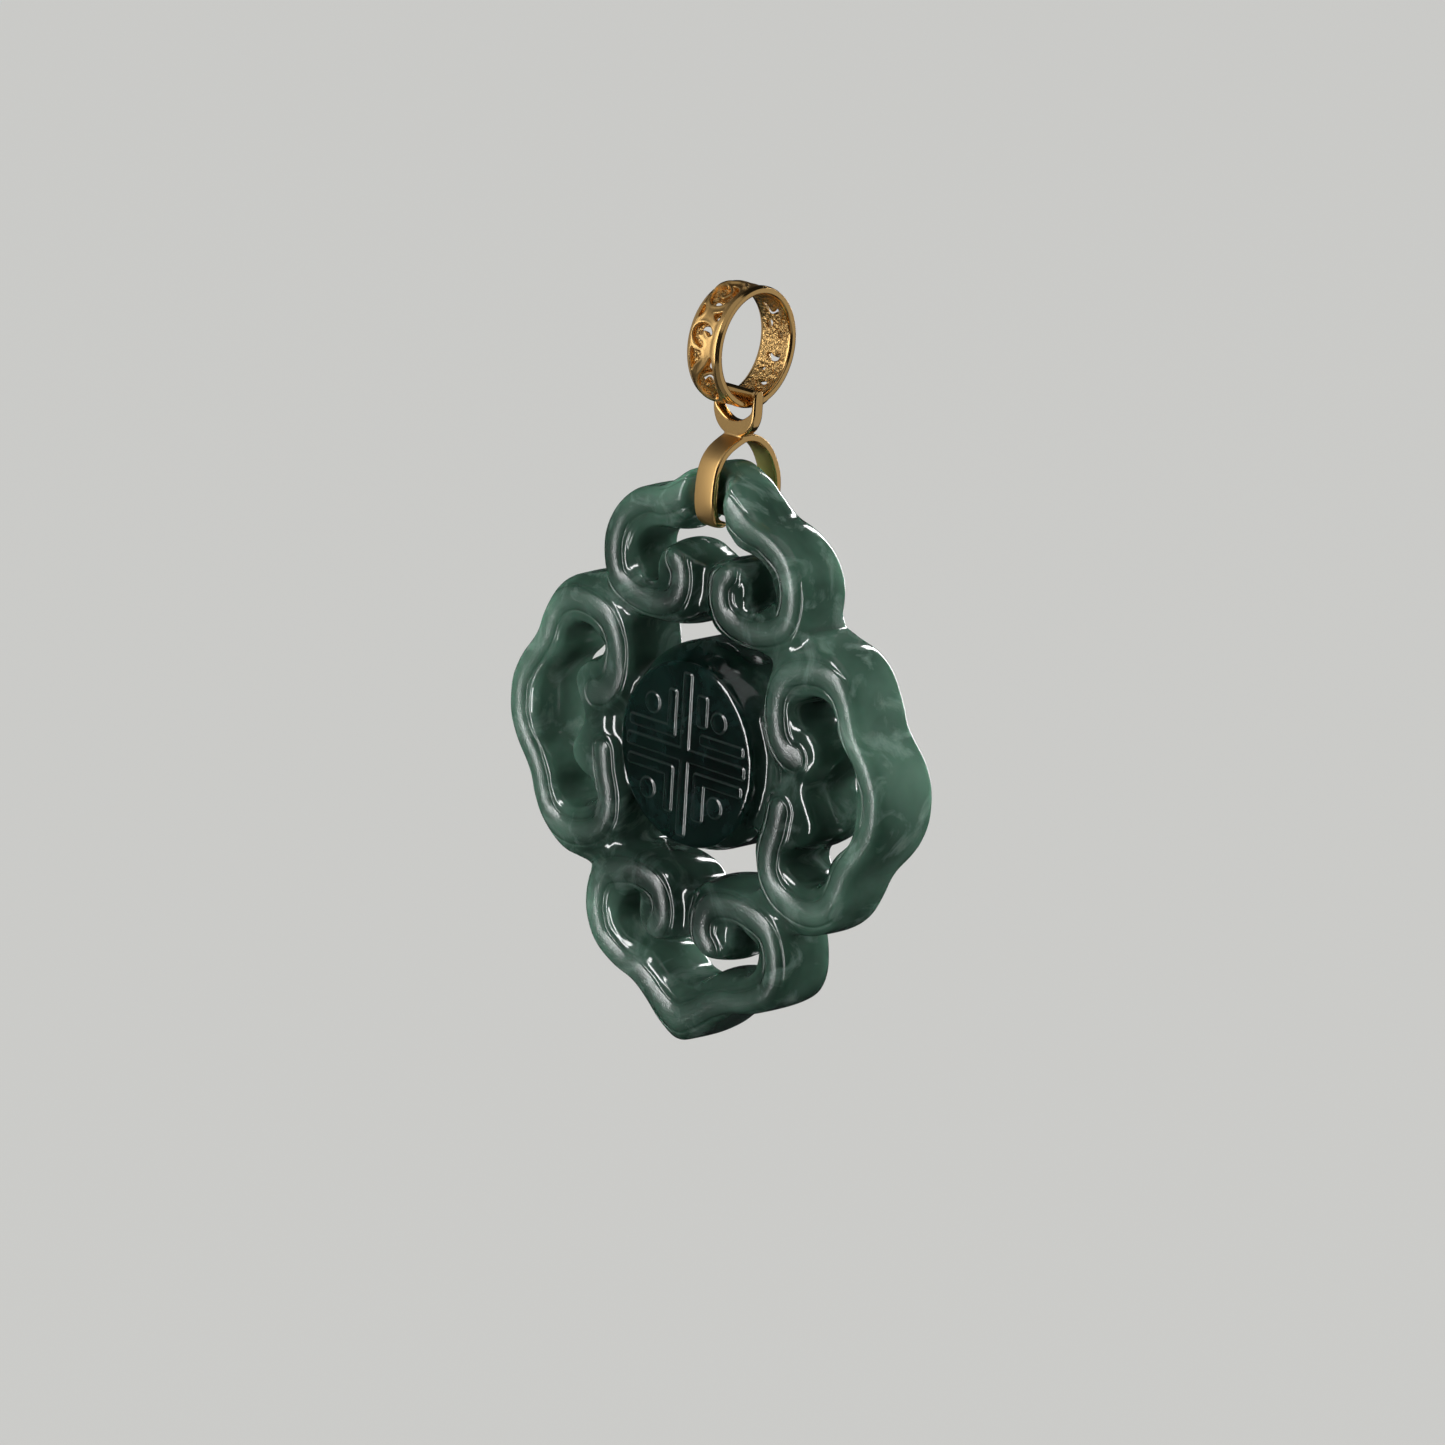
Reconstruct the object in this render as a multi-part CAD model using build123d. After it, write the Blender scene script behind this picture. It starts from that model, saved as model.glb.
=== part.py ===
from build123d import *
import os
from math import cos, radians, sin, sqrt

# A pendant: a carved and pierced jadeite plaque, held by a gold strap clip whose loop
# hangs in a pierced gold ring bail. Millimetres, +Z up, front towards -Y.
# The origin is the chain's seat: the inner top of the ring bail.

# Ring bail
ring_outer_radius = 4.4
ring_wall = 0.6
ring_width = 3.0
ring_turn = 6.0
rim_height = 0.55
rim_rise = 0.06
rim_roundness = 0.45
scroll_count = 6
curl_radius = 0.62
curl_slot = 0.34
curl_sweep = 250.0
leaf_length = 1.25
leaf_width = 0.72
leaf_gap = 0.15
leaf_tilt = 35.0

# Loop of the clip
loop_bar_radius = 0.35
loop_play = 0.05
loop_side_play = 0.16
loop_wall = 0.42
loop_depth = 0.9
loop_drop = 2.45
loop_foot = 0.8
loop_narrow_radius = 0.9
loop_shoulder = 1.1
loop_hole_round = 0.1
loop_swing = 30.0

# Strap of the clip
strap_width = 2.0
strap_thickness = 0.62
strap_edge_round = 0.16
clip_front_reach = 3.0
clip_back_reach = 3.9
clip_height = 6.75
clip_overlap = 0.2
tip_round = 0.7

# Stone
plaque_half_width = 19.3
plaque_half_height = 21.2
plaque_thickness = 5.5
ridge_radius = 1.3
ridge_rise = 0.35
disc_radius = 6.8
disc_waist_radius = 7.2
disc_thickness = 6.6
disc_edge_round = 0.25
bar_thickness = 4.0
bar_round = 0.9
clip_side_play = 0.3
clip_seat_play = 0.3

# Emblem on the disc
emblem_reach = 5.9
emblem_rise = 0.16
cross_bar = 1.0
key_bar = 0.85
key_gap = 0.55
key_leg = 4.5
key_arm = 5.7
dot_radius = 0.78
dot_place = 3.3

# Quarter of the outline, as shares of the half width and the half height. The first row
# of points is the side head up to the notch, the second the top head up to its point.
SIDE_OUTLINE = [(1.0, 0.0), (0.990, 0.075), (0.953, 0.151), (0.902, 0.212), (0.870, 0.255),
                (0.839, 0.330), (0.777, 0.425), (0.694, 0.481), (0.601, 0.505), (0.518, 0.524)]
TOP_OUTLINE = [(0.518, 0.524), (0.536, 0.594), (0.534, 0.670), (0.503, 0.736), (0.446, 0.792),
               (0.363, 0.835), (0.280, 0.858), (0.233, 0.882), (0.176, 0.920), (0.104, 0.967),
               (0.0, 1.0)]

# Half of each opening, first its outer edge and then the edge along the cloud tongue.
SIDE_OPENING_OUT = [(0.860, 0.0), (0.855, 0.071), (0.829, 0.137), (0.772, 0.189), (0.741, 0.231),
                    (0.731, 0.274), (0.689, 0.321), (0.622, 0.335), (0.554, 0.316), (0.505, 0.270)]
SIDE_OPENING_IN = [(0.505, 0.270), (0.549, 0.208), (0.596, 0.189), (0.637, 0.156),
                   (0.648, 0.113), (0.622, 0.066), (0.596, 0.024), (0.591, 0.0)]
TOP_OPENING_OUT = [(0.0, 0.825), (0.073, 0.816), (0.124, 0.788), (0.171, 0.759), (0.249, 0.745),
                   (0.316, 0.722), (0.363, 0.679), (0.373, 0.632), (0.358, 0.594), (0.321, 0.561),
                   (0.280, 0.542)]
TOP_OPENING_IN = [(0.280, 0.542), (0.238, 0.557), (0.223, 0.594), (0.212, 0.627),
                  (0.176, 0.656), (0.124, 0.670), (0.062, 0.660), (0.0, 0.642)]

# Half of the gap above the disc, from the disc's edge round to the notch under the top head.
DISC_GAP = [(0.275, 0.203), (0.321, 0.189), (0.352, 0.217), (0.358, 0.274), (0.373, 0.340),
            (0.378, 0.387), (0.342, 0.420), (0.259, 0.425), (0.176, 0.429), (0.098, 0.448),
            (0.047, 0.481), (0.0, 0.495)]

# Crest of the raised band, from the middle of each head to the end of its curl.
SIDE_CREST = [(0.950, 0.0), (0.943, 0.066), (0.902, 0.137), (0.850, 0.198), (0.813, 0.255),
              (0.793, 0.311), (0.751, 0.373), (0.674, 0.410), (0.580, 0.410), (0.487, 0.377),
              (0.435, 0.311), (0.425, 0.236), (0.446, 0.156), (0.503, 0.104), (0.575, 0.108)]
TOP_CREST = [(0.0, 0.925), (0.093, 0.896), (0.166, 0.854), (0.233, 0.825), (0.311, 0.811),
             (0.420, 0.755), (0.464, 0.684), (0.471, 0.610), (0.446, 0.538), (0.394, 0.505),
             (0.326, 0.486), (0.259, 0.479), (0.181, 0.491), (0.130, 0.519), (0.106, 0.566),
             (0.109, 0.618), (0.140, 0.656)]

# Profile of the strap from the apex down: y as a share of that leg's reach, z as a share
# of the clip's height below the apex.
FRONT_LEG = [(0.0, 0.0), (0.50, 0.10), (0.78, 0.21), (0.93, 0.35), (1.0, 0.54), (1.0, 0.74),
             (0.90, 0.90), (0.70, 0.985), (0.45, 1.0)]
BACK_LEG = [(0.22, 0.0), (0.46, 0.05), (0.67, 0.15), (0.85, 0.30), (0.98, 0.50), (1.0, 0.72),
            (0.91, 0.89), (0.76, 0.98), (0.58, 1.0)]

ring_inner_radius = ring_outer_radius - ring_wall
ring_centre_z = -ring_inner_radius
loop_axis_z = ring_centre_z - ring_inner_radius + loop_bar_radius + loop_play
loop_hole_bottom = loop_axis_z - loop_drop
loop_foot_bottom = loop_hole_bottom - loop_foot
apex_z = loop_foot_bottom + clip_overlap
clip_bottom = apex_z - clip_height
bar_bottom = clip_bottom + strap_thickness + clip_seat_play
bar_height = plaque_half_height * (1 - TOP_OPENING_OUT[0][1])
bar_top = bar_bottom + bar_height
plaque_centre_z = bar_top - plaque_half_height
rock_axis_z = bar_top - bar_height / 2


def placed(shares):
    """Turn shares of the plaque's half sizes into points, in millimetres."""
    return [(x * plaque_half_width, z * plaque_half_height) for x, z in shares]


def smooth_across(shares, side_head):
    """One smooth curve through the given half of it and its mirror image.

    The half starts on the mirror line: the level middle of a side head, or the upright
    middle of the top head.
    """
    half = placed(shares)
    if side_head:
        other = [(x, -z) for x, z in reversed(half[1:])]
    else:
        other = [(-x, z) for x, z in reversed(half[1:])]
    return Spline(*other, *half)


def opening_face(outer, inner, side_head):
    """A crescent opening, between its outer edge and the edge along the cloud tongue."""
    return make_face([smooth_across(outer, side_head), smooth_across(inner[::-1], side_head)])


def through(face, thickness):
    """Stand a flat face upright, facing the front, and give it a thickness about the middle."""
    return Plane.XZ * extrude(face, thickness / 2, both=True)


def in_stone(solid):
    """Move a solid from the middle of the disc to the plaque's place."""
    return Pos(0, 0, plaque_centre_z) * solid


def outline_face():
    """The plaque's outline: two side heads, the top head and the bottom head."""
    side = smooth_across(SIDE_OUTLINE, True)
    top = smooth_across(TOP_OUTLINE[::-1], False)
    return make_face([side, top, side.mirror(Plane.YZ), top.mirror(Plane.XZ)])


def disc_gap_face():
    """The gap above the disc, from one side head round to the other."""
    points = placed(DISC_GAP)
    edge_x, edge_z = points[0]
    scale = disc_radius / sqrt(edge_x ** 2 + edge_z ** 2)
    start = (edge_x * scale, edge_z * scale)
    end = (-start[0], start[1])
    curve = Spline(start, *points[1:])
    return make_face([curve, curve.mirror(Plane.YZ), ThreePointArc(end, (0, disc_radius), start)])


def openings():
    """The four crescent openings and the two gaps beside the disc."""
    side = opening_face(SIDE_OPENING_OUT, SIDE_OPENING_IN, True)
    top = opening_face(TOP_OPENING_OUT, TOP_OPENING_IN, False)
    gap = disc_gap_face()
    depth = 2 * disc_thickness
    faces = [side, side.mirror(Plane.YZ), top, top.mirror(Plane.XZ), gap, gap.mirror(Plane.XZ)]
    return [through(face, depth) for face in faces]


def band_ridge(shares, mirror_plane, side):
    """The raised round band of one head: a tube along its crest, with round ends."""
    level = side * (plaque_thickness / 2 + ridge_rise - ridge_radius)
    half = [Vector(x, level, z) for x, z in placed(shares)]
    other = [Vertex(*point).mirror(mirror_plane).center() for point in reversed(half[1:])]
    path = Spline(*other, *half)
    section = Plane(origin=path @ 0, z_dir=path % 0) * Circle(ridge_radius)
    cap = Sphere(ridge_radius)
    return sweep(section, path=path) + Pos(path @ 0) * cap + Pos(path @ 1) * cap


def emblem():
    """The round emblem: a double bar each way, four corner keys and four dots, raised."""
    reach = 2 * emblem_reach
    shapes = Rectangle(cross_bar, reach) + Rectangle(reach, cross_bar)
    corner = cross_bar / 2 + key_gap
    key = Pos((corner + key_arm) / 2, corner + key_bar / 2) * Rectangle(key_arm - corner, key_bar)
    key += Pos(corner + key_bar / 2, (corner + key_leg) / 2) * Rectangle(key_bar, key_leg - corner)
    key += Pos(dot_place, dot_place) * Circle(dot_radius)
    for turn in (key, key.mirror(Plane.YZ)):
        shapes += turn
        shapes += turn.mirror(Plane.XZ)
    raised = Plane.XZ * extrude(shapes, disc_thickness / 2 + emblem_rise)
    return raised & Pos(0, -disc_thickness / 2, 0) * Box(reach, disc_thickness, reach)


def build_disc():
    """The disc: it widens a little from its face to its waist, and has soft edges."""
    front = disc_thickness / 2
    edge = disc_edge_round
    profile = Polyline((0, -front), (disc_radius - edge, -front), (disc_radius, edge - front),
                       (disc_waist_radius, 0), (disc_waist_radius, front - edge),
                       (disc_waist_radius - edge, front), (0, front), close=True)
    return revolve(make_face(profile), Axis.Y, 360)


def clip_seat():
    """What is cut away where the clip goes round the top bar, which is left rounded."""
    width = strap_width + 2 * clip_side_play
    around = Box(width, 2 * disc_thickness, bar_height + 2 * bar_round)
    bar = extrude(Plane.YZ * RectangleRounded(bar_thickness, bar_height, bar_round), width, both=True)
    return Pos(0, 0, plaque_half_height - bar_height / 2) * (around - bar)


def build_plaque():
    """The stone: a pierced plate with raised bands, and the disc with its emblem."""
    stone = through(outline_face(), plaque_thickness)
    trim = through(outline_face(), 2 * disc_thickness)
    for side in (-1, 1):
        side_head = band_ridge(SIDE_CREST, Plane.XY, side) & trim
        top_head = band_ridge(TOP_CREST, Plane.YZ, side) & trim
        for ridge in (side_head, side_head.mirror(Plane.YZ), top_head, top_head.mirror(Plane.XY)):
            stone += ridge
    for opening in openings():
        stone -= opening
    return in_stone(stone + build_disc() + emblem() - clip_seat())


def strap_path():
    """The middle line of the strap, from the front tip over the apex to the back tip."""
    half = strap_thickness / 2
    top = apex_z - half
    height = clip_height - strap_thickness
    front = [(-y * (clip_front_reach - half), top - z * height) for y, z in FRONT_LEG]
    back = [(y * (clip_back_reach - half), top - z * height) for y, z in BACK_LEG]
    return Spline(*[Vector(0, y, z) for y, z in front[::-1] + back])


def build_strap():
    """The strap, bent along its path, with softened edges and rounded tips."""
    path = strap_path()
    place = Plane(origin=path @ 0, x_dir=(1, 0, 0), z_dir=path % 0)
    section = place * RectangleRounded(strap_width, strap_thickness, strap_edge_round)
    strap = sweep(section, path=path)
    tips = Pos(0, apex_z) * RectangleRounded(strap_width, 2 * clip_height, tip_round)
    return strap & through(tips, 4 * clip_back_reach)


def hull_of(circles):
    """The face round a few circles, each given as x, z and radius."""
    edges = [(Pos(x, z) * Circle(radius)).edge() for x, z, radius in circles]
    return make_face(make_hull(edges))


def build_loop():
    """The loop: a flat eye below a round bar that lies inside the ring bail's band."""
    swing_reach = (ring_wall + 2 * loop_bar_radius) * sin(radians(loop_swing)) + loop_depth / 2
    turn = radians(ring_turn)
    half = ring_width / 2 / cos(turn) + swing_reach * sin(turn) / cos(turn) + loop_side_play / 2
    outer = half + loop_wall
    corner = loop_wall
    shoulder_z = loop_hole_bottom + loop_shoulder
    foot_radius = loop_narrow_radius + loop_foot
    foot_z = loop_hole_bottom + loop_narrow_radius
    body = hull_of([(outer - corner, loop_axis_z, corner), (corner - outer, loop_axis_z, corner),
                    (outer - corner, shoulder_z, corner), (corner - outer, shoulder_z, corner),
                    (0, foot_z, foot_radius)])
    edge = loop_hole_round
    hole = hull_of([(half - edge, loop_axis_z, edge), (edge - half, loop_axis_z, edge),
                    (half - edge, shoulder_z, edge), (edge - half, shoulder_z, edge),
                    (0, foot_z, loop_narrow_radius)])
    below = Pos(0, loop_axis_z - loop_drop) * Rectangle(4 * outer, 2 * loop_drop)
    eye = through((body - hole) & below, loop_depth)
    across = Plane.YZ * Circle(loop_bar_radius)
    bar = Pos(0, 0, loop_axis_z) * extrude(across, outer, both=True)
    knuckle = extrude(Plane.YZ * Circle(loop_depth / 2), loop_wall)
    right = Pos(half, 0, loop_axis_z) * knuckle
    return eye + bar + right + right.mirror(Plane.YZ)


def scroll_cutter():
    """One repeat of the ring's pattern: a curled slot and a leaf on each side of it."""
    arc = CenterArc((0, 0), curl_radius, 0, curl_sweep)
    slot = Sketch() + SlotArc(arc, curl_slot)
    bulge = (leaf_length ** 2 + leaf_width ** 2) / (4 * leaf_width)
    drop = bulge - leaf_width / 2
    leaf = (Pos(0, drop) * Circle(bulge)) & (Pos(0, -drop) * Circle(bulge))
    across = curl_radius + curl_slot / 2 + leaf_length / 2 + leaf_gap
    slot += Pos(across, 0) * Rot(0, 0, leaf_tilt) * leaf
    slot += Pos(-across, 0) * Rot(0, 0, leaf_tilt) * leaf
    return extrude(slot, 2 * ring_wall, both=True)


def build_ring():
    """The ring bail: a band with two smooth rims and a pierced scroll pattern between them."""
    inner = ring_inner_radius
    waist = ring_outer_radius - rim_rise
    half = ring_width / 2
    band = Rectangle(ring_width, ring_wall)
    band = fillet(band.vertices(), ring_wall * rim_roundness)
    recess = Pos(0, ring_wall / 2) * Rectangle(ring_width - 2 * rim_height, 2 * rim_rise)
    section = Plane.XZ * (Pos(0, (ring_outer_radius + inner) / 2) * (band - recess))
    ring = revolve(section, Axis.X, 360)
    cutter = scroll_cutter()
    middle = (inner + waist) / 2
    for index in range(scroll_count):
        turn = 360 / scroll_count * (index + 0.5) - 90
        upright = Rot(turn, 0, 0) * (Pos(0, 0, middle) * (Rot(0, 0, 90) * cutter))
        ring -= upright
    return Pos(0, 0, ring_centre_z) * Rot(0, 0, ring_turn) * ring


clip = build_strap() + build_loop()

os.makedirs("parts", exist_ok=True)
export_step(build_plaque(), "parts/jade_plaque.step")
export_step(clip, "parts/clip.step")
export_step(build_ring(), "parts/ring_bail.step")
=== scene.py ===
"""A carved jadeite plaque on a gold strap clip and a pierced gold ring bail."""
import math

import bmesh
import bpy
import numpy as np
from mathutils import Matrix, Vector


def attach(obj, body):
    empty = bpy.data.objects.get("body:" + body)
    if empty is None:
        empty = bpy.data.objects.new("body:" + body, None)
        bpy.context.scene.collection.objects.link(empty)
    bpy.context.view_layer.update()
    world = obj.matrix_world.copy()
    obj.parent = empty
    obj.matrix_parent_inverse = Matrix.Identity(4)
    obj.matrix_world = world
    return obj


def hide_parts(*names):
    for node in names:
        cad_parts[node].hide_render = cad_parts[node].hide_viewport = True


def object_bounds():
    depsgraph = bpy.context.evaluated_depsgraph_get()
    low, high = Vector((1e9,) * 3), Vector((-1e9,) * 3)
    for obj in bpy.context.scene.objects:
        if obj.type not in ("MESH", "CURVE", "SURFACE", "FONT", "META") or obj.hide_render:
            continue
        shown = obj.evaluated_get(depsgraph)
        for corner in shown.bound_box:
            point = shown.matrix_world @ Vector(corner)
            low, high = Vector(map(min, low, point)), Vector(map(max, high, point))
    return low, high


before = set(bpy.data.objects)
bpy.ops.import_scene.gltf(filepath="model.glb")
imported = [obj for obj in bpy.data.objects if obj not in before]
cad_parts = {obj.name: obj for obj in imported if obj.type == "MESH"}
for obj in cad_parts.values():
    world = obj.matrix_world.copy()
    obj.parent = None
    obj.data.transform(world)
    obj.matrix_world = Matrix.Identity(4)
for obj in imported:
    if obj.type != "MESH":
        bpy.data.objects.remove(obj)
cad_low, cad_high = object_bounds()
mm = 0.001


# The photographer's camera, half a metre away, well round to the right of the pendant
# and a little above it. It was held a few degrees off level.
camera_azimuth = math.radians(45.0)
camera_elevation = math.radians(15.5)
camera_roll = math.radians(3.3)
camera_distance = 500 * mm
camera_lens = 173.15
disc_middle = np.array([0.0, -0.35, -33.57]) * mm
aim_right_of_disc = 0.54 * mm
aim_above_disc = 1.885 * mm

level = np.array([math.cos(camera_azimuth), math.sin(camera_azimuth), 0.0])
forward = np.array([-math.sin(camera_azimuth) * math.cos(camera_elevation),
                    math.cos(camera_azimuth) * math.cos(camera_elevation),
                    -math.sin(camera_elevation)])
upward = np.cross(level, forward)
right_side = level * math.cos(camera_roll) + upward * math.sin(camera_roll)
upper_side = upward * math.cos(camera_roll) - level * math.sin(camera_roll)
aim = disc_middle + right_side * aim_right_of_disc + upper_side * aim_above_disc


def facing(side, over, toward, place):
    """The matrix of a camera or lamp: its right, its top, its back and where it stands."""
    return Matrix([[side[i], over[i], toward[i], place[i]] for i in range(3)] + [[0, 0, 0, 1]])


camera = bpy.data.objects.new("camera", bpy.data.cameras.new("camera"))
camera.data.lens = camera_lens
camera.data.sensor_width = 36
camera.data.clip_start = 0.01
camera.matrix_world = facing(right_side, upper_side, -forward, aim - forward * camera_distance)
bpy.context.scene.collection.objects.link(camera)
bpy.context.scene.camera = camera
bpy.context.scene.view_settings.view_transform = "Standard"


# The studio: a plain pale table below the pendant, evenly lit by a lamp of its own.


def linear(code, alpha=1.0):
    """An sRGB hex colour as the linear values that a shader takes."""
    value = np.array([int(code[i:i + 2], 16) for i in (1, 3, 5)]) / 255
    return (*np.where(value <= 0.04045, value / 12.92, ((value + 0.055) / 1.055) ** 2.4), alpha)


def add_node(tree, kind, links=(), **settings):
    """One node: settings are attributes or sockets, and links are (socket, from socket)."""
    node = tree.nodes.new(kind)
    for key, value in settings.items():
        if hasattr(node, key):
            setattr(node, key, value)
    for key, value in settings.items():
        if not hasattr(node, key):
            node.inputs[key.replace("_", " ")].default_value = value
    for socket, source in links:
        tree.links.new(source, node.inputs[socket])
    return node


floor_drop = 160 * mm
floor_half = 2.5
floor_colour = "#d9d9d6"
air_colour = "#1b1c1d"
table_lamp_strength = 2.7
table_lamp_spread = math.radians(60)
floor_z = cad_low.z - floor_drop
corners = [(-floor_half, -floor_half), (floor_half, -floor_half),
           (floor_half, floor_half), (-floor_half, floor_half)]
floor_mesh = bpy.data.meshes.new("table")
floor_mesh.from_pydata([(x, y, floor_z) for x, y in corners], [], [(0, 1, 2, 3)])
floor = bpy.data.objects.new("table", floor_mesh)
bpy.context.scene.collection.objects.link(floor)
floor.visible_glossy = False
floor.visible_diffuse = False

card = bpy.data.materials.new("matt_card")
card.use_nodes = True
card_shader = card.node_tree.nodes["Principled BSDF"]
card_shader.inputs["Base Color"].default_value = linear(floor_colour)
card_shader.inputs["Roughness"].default_value = 0.85
floor_mesh.materials.append(card)

table_lamp = bpy.data.objects.new("table_lamp", bpy.data.lights.new("table_lamp", "SUN"))
table_lamp.data.energy = table_lamp_strength
table_lamp.data.angle = table_lamp_spread
table_lamp.light_linking.receiver_collection = bpy.data.collections.new("table_lamp")
table_lamp.light_linking.receiver_collection.objects.link(floor)
bpy.context.scene.collection.objects.link(table_lamp)

world = bpy.data.worlds.new("studio_air")
bpy.context.scene.world = world
world.use_nodes = True
world.node_tree.nodes["Background"].inputs["Color"].default_value = linear(air_colour)
world.node_tree.nodes["Background"].inputs["Strength"].default_value = 1.0


# The stone: one slab of translucent jadeite, sawn out and pierced, then carved into four
# cloud heads round a disc. Their bands are round beads, ground satin along the crest, and
# the edges and walls are polished.
plaque_half_width = 19.3
plaque_half_height = 21.2
plaque_middle_z = -33.57
shoulder_level = 2.75
web_level = 2.25
bead_radius = 1.3
bead_rise = 0.38
groove_depth = 0.05
wall_bulge = 0.50
disc_radius = 6.8
disc_flare = 0.5
disc_top_flare = 0.7
disc_level = 3.30

side_outline = [(1.0, 0.0), (0.990, 0.075), (0.953, 0.151), (0.902, 0.212), (0.870, 0.255),
                (0.839, 0.330), (0.777, 0.425), (0.694, 0.481), (0.601, 0.505), (0.518, 0.524)]
top_outline = [(0.518, 0.524), (0.536, 0.594), (0.534, 0.670), (0.503, 0.736), (0.446, 0.792),
               (0.363, 0.835), (0.280, 0.858), (0.233, 0.882), (0.176, 0.920), (0.104, 0.967),
               (0.0, 1.0)]
side_opening_outer = [(0.860, 0.0), (0.855, 0.071), (0.829, 0.137), (0.772, 0.189),
                      (0.741, 0.231), (0.731, 0.274), (0.689, 0.321), (0.622, 0.335),
                      (0.554, 0.316), (0.497, 0.270)]
side_opening_inner = [(0.497, 0.270), (0.535, 0.212), (0.593, 0.189), (0.637, 0.156),
                      (0.648, 0.113), (0.622, 0.066), (0.596, 0.024), (0.591, 0.0)]
top_opening_outer = [(0.0, 0.825), (0.073, 0.816), (0.124, 0.788), (0.171, 0.759),
                     (0.249, 0.745), (0.316, 0.722), (0.363, 0.679), (0.373, 0.632),
                     (0.358, 0.594), (0.321, 0.561), (0.280, 0.542)]
top_opening_inner = [(0.280, 0.542), (0.243, 0.557), (0.240, 0.594), (0.238, 0.627),
                     (0.219, 0.658), (0.181, 0.680), (0.130, 0.684), (0.062, 0.660), (0.0, 0.642)]
disc_gap = [(0.275, 0.203), (0.321, 0.189), (0.352, 0.217), (0.358, 0.274), (0.373, 0.340),
            (0.378, 0.387), (0.342, 0.420), (0.259, 0.425), (0.176, 0.429), (0.098, 0.448),
            (0.047, 0.481), (0.0, 0.495)]
side_crest = [(0.950, 0.0), (0.943, 0.066), (0.902, 0.137), (0.850, 0.198), (0.813, 0.255),
              (0.793, 0.311), (0.751, 0.373), (0.674, 0.410), (0.580, 0.410), (0.487, 0.377),
              (0.435, 0.311)]
upper_curl = [(0.425, 0.236), (0.446, 0.156), (0.492, 0.110), (0.532, 0.101)]
lower_curl = [(0.436, 0.236), (0.460, 0.165), (0.474, 0.095)]
top_crest = [(0.0, 0.925), (0.093, 0.896), (0.166, 0.854), (0.233, 0.825), (0.311, 0.811),
             (0.420, 0.755), (0.464, 0.684), (0.471, 0.610), (0.446, 0.538), (0.394, 0.505),
             (0.326, 0.486), (0.259, 0.479), (0.181, 0.491), (0.130, 0.519), (0.106, 0.566),
             (0.109, 0.618), (0.140, 0.656)]


def smooth_line(points, steps=6):
    """A smooth line through points: between two of them runs the cubic whose slope at each
    is half the step from the point before it to the point after it."""
    p = np.asarray(points, float)
    p = np.vstack([2 * p[0] - p[1], p, 2 * p[-1] - p[-2]])
    a, b, c, d = p[:-3, None], p[1:-2, None], p[2:-1, None], p[3:, None]
    t = (np.arange(steps) / steps)[None, :, None]
    line = 0.5 * (2 * b + (c - a) * t + (2 * a - 5 * b + 4 * c - d) * t ** 2
                  + (3 * b - a - 3 * c + d) * t ** 3)
    return np.vstack([line.reshape(-1, p.shape[1]), p[-2]])


def closed_line(points, steps=6):
    """The smooth line through points and back to the first, as a closed line."""
    p = np.asarray(points, float)
    return smooth_line(np.vstack([p[-2:], p, p[:2]]), steps)[2 * steps:-steps - 1]


def head_line(shares, flip, other=None):
    """The smooth line through the mirror image of one half of a head and then its other
    half, given as shares of the half sizes. flip is (1, -1) for a half that starts on the
    level middle and (-1, 1) for one on the upright middle."""
    size = (plaque_half_width, plaque_half_height)
    mirrored = np.array(other or shares)[:0:-1] * size * flip
    return smooth_line(np.vstack([mirrored, np.array(shares) * size]))


def line_distance(x, z, line):
    """Distance from each point to a line: the least of those to its straight parts."""
    nearest = np.full(np.shape(x), np.inf)
    for (ax, az), (bx, bz) in zip(line[:-1], line[1:]):
        dx, dz = bx - ax, bz - az
        t = np.clip(((x - ax) * dx + (z - az) * dz) / (dx * dx + dz * dz), 0, 1)
        nearest = np.minimum(nearest, (x - ax - t * dx) ** 2 + (z - az - t * dz) ** 2)
    return np.sqrt(nearest)


def loop_distance(x, z, loop):
    """Distance to a closed line, negative inside it: inside, a level ray crosses it an odd
    number of times."""
    inside = np.zeros(np.shape(x), bool)
    for (ax, az), (bx, bz) in zip(loop, np.roll(loop, -1, 0)):
        if az != bz:
            inside ^= ((az <= z) != (bz <= z)) & (x < ax + (z - az) * (bx - ax) / (bz - az))
    return np.where(inside, -1, 1) * line_distance(x, z, np.vstack([loop, loop[:1]]))


def ease(low, high, value):
    """From 0 below low to 1 above high, along the smooth curve 3 t^2 - 2 t^3."""
    t = np.clip((value - low) / (high - low), 0, 1)
    return t * t * (3 - 2 * t)


def hill(x, z, centre_x, centre_z, reach):
    """A round hill: 1 at its centre and e^-1 at its reach, by e^-(distance / reach)^2."""
    return np.exp(-((x - centre_x) ** 2 + (z - centre_z) ** 2) / reach ** 2)


def hills(x, z, table):
    """The sum of round hills, from a table of x, z, reach and height."""
    return sum(row_height * hill(x, z, *row) for *row, row_height in table)


def soft_least(a, b, width):
    """The lesser of a and b, rounded off where they are within width of each other."""
    h = np.clip(0.5 + 0.5 * (b - a) / width, 0, 1)
    return b * (1 - h) + a * h - width * h * (1 - h)


def rounded_slab(wall, cover, radius):
    """How far outside a slab a point is. wall is how deep the point is behind the slab's
    edge, cover how far in front of its face, and the corner between has the radius."""
    a, b = radius - wall, cover + radius
    return np.hypot(np.maximum(a, 0), np.maximum(b, 0)) + np.minimum(np.maximum(a, b), 0) - radius


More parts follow.
